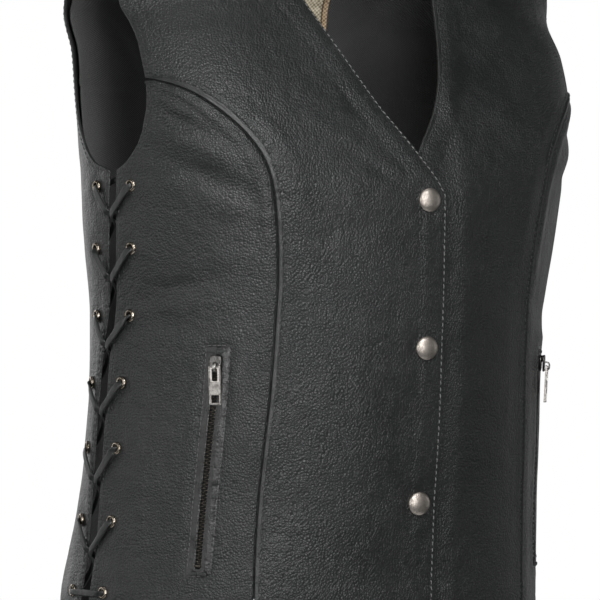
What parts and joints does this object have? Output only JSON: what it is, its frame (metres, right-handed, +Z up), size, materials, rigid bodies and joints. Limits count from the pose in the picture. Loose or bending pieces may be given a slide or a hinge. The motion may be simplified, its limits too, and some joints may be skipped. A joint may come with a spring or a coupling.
{
  "type": "leather vest",
  "caption": "Hip-length V-neck leather vest with snap front, curved princess seams, slanted zip pockets and laced open sides.",
  "frame": {"origin": "midway between the two shoulder neck points, level with them, where the wearer's shoulders hold it", "axes": "+Z up along the height, -Y to the front, +X to the wearer's left"},
  "size_m": [0.3508, 0.2827, 0.5022],
  "materials": {
    "leather": "black pebble-grain cowhide, semi-gloss",
    "lining": "black twill lining, dull satin",
    "label": "plain tan woven label, bare",
    "snap_nickel": "satin antique nickel",
    "eyelet_brass": "antique brass, worn",
    "zip_metal": "nickel",
    "zip_tape": "black tape with dark bronze metal teeth",
    "lace_leather": "black flat leather thong"
  },
  "bodies": {
    "vest": {"front_centre_R": "leather", "front_side_R": "leather", "front_centre_L": "leather", "front_side_L": "leather", "back": "leather", "pocket_welt_R": "leather", "zip_tape_R": "zip_tape", "zip_slider_R": "zip_metal", "lace_R": "lace_leather", "pocket_welt_L": "leather", "zip_tape_L": "zip_tape", "zip_slider_L": "zip_metal", "lace_L": "lace_leather", "back_lining": "lining", "label": "label", "snap_cap_1": "snap_nickel", "snap_back_1": "snap_nickel", "snap_cap_2": "snap_nickel", "snap_back_2": "snap_nickel", "snap_cap_3": "snap_nickel", "snap_back_3": "snap_nickel", "eyelet_front_R1": "eyelet_brass", "eyelet_front_R2": "eyelet_brass", "eyelet_front_R3": "eyelet_brass", "eyelet_front_R4": "eyelet_brass", "eyelet_front_R5": "eyelet_brass", "eyelet_front_R6": "eyelet_brass", "eyelet_front_R7": "eyelet_brass", "eyelet_back_R1": "eyelet_brass", "eyelet_back_R2": "eyelet_brass", "eyelet_back_R3": "eyelet_brass", "eyelet_back_R4": "eyelet_brass", "eyelet_back_R5": "eyelet_brass", "eyelet_back_R6": "eyelet_brass", "eyelet_back_R7": "eyelet_brass", "eyelet_front_L1": "eyelet_brass", "eyelet_front_L2": "eyelet_brass", "eyelet_front_L3": "eyelet_brass", "eyelet_front_L4": "eyelet_brass", "eyelet_front_L5": "eyelet_brass", "eyelet_front_L6": "eyelet_brass", "eyelet_front_L7": "eyelet_brass", "eyelet_back_L1": "eyelet_brass", "eyelet_back_L2": "eyelet_brass", "eyelet_back_L3": "eyelet_brass", "eyelet_back_L4": "eyelet_brass", "eyelet_back_L5": "eyelet_brass", "eyelet_back_L6": "eyelet_brass", "eyelet_back_L7": "eyelet_brass"},
    "pull_R": {"zip_pull_R": "zip_metal"},
    "pull_L": {"zip_pull_L": "zip_metal"}
  },
  "joints": [
    {"name": "pull_hinge_R", "type": "hinge", "parent": "vest", "child": "pull_R", "pos_m": [-0.13456, -0.06897, -0.33931], "axis": [-0.6888, 0.7215, 0.071], "range_deg": [0, 150]},
    {"name": "pull_hinge_L", "type": "hinge", "parent": "vest", "child": "pull_L", "pos_m": [0.13456, -0.06897, -0.33931], "axis": [-0.6888, -0.7215, -0.071], "range_deg": [0, 150]}
  ]
}
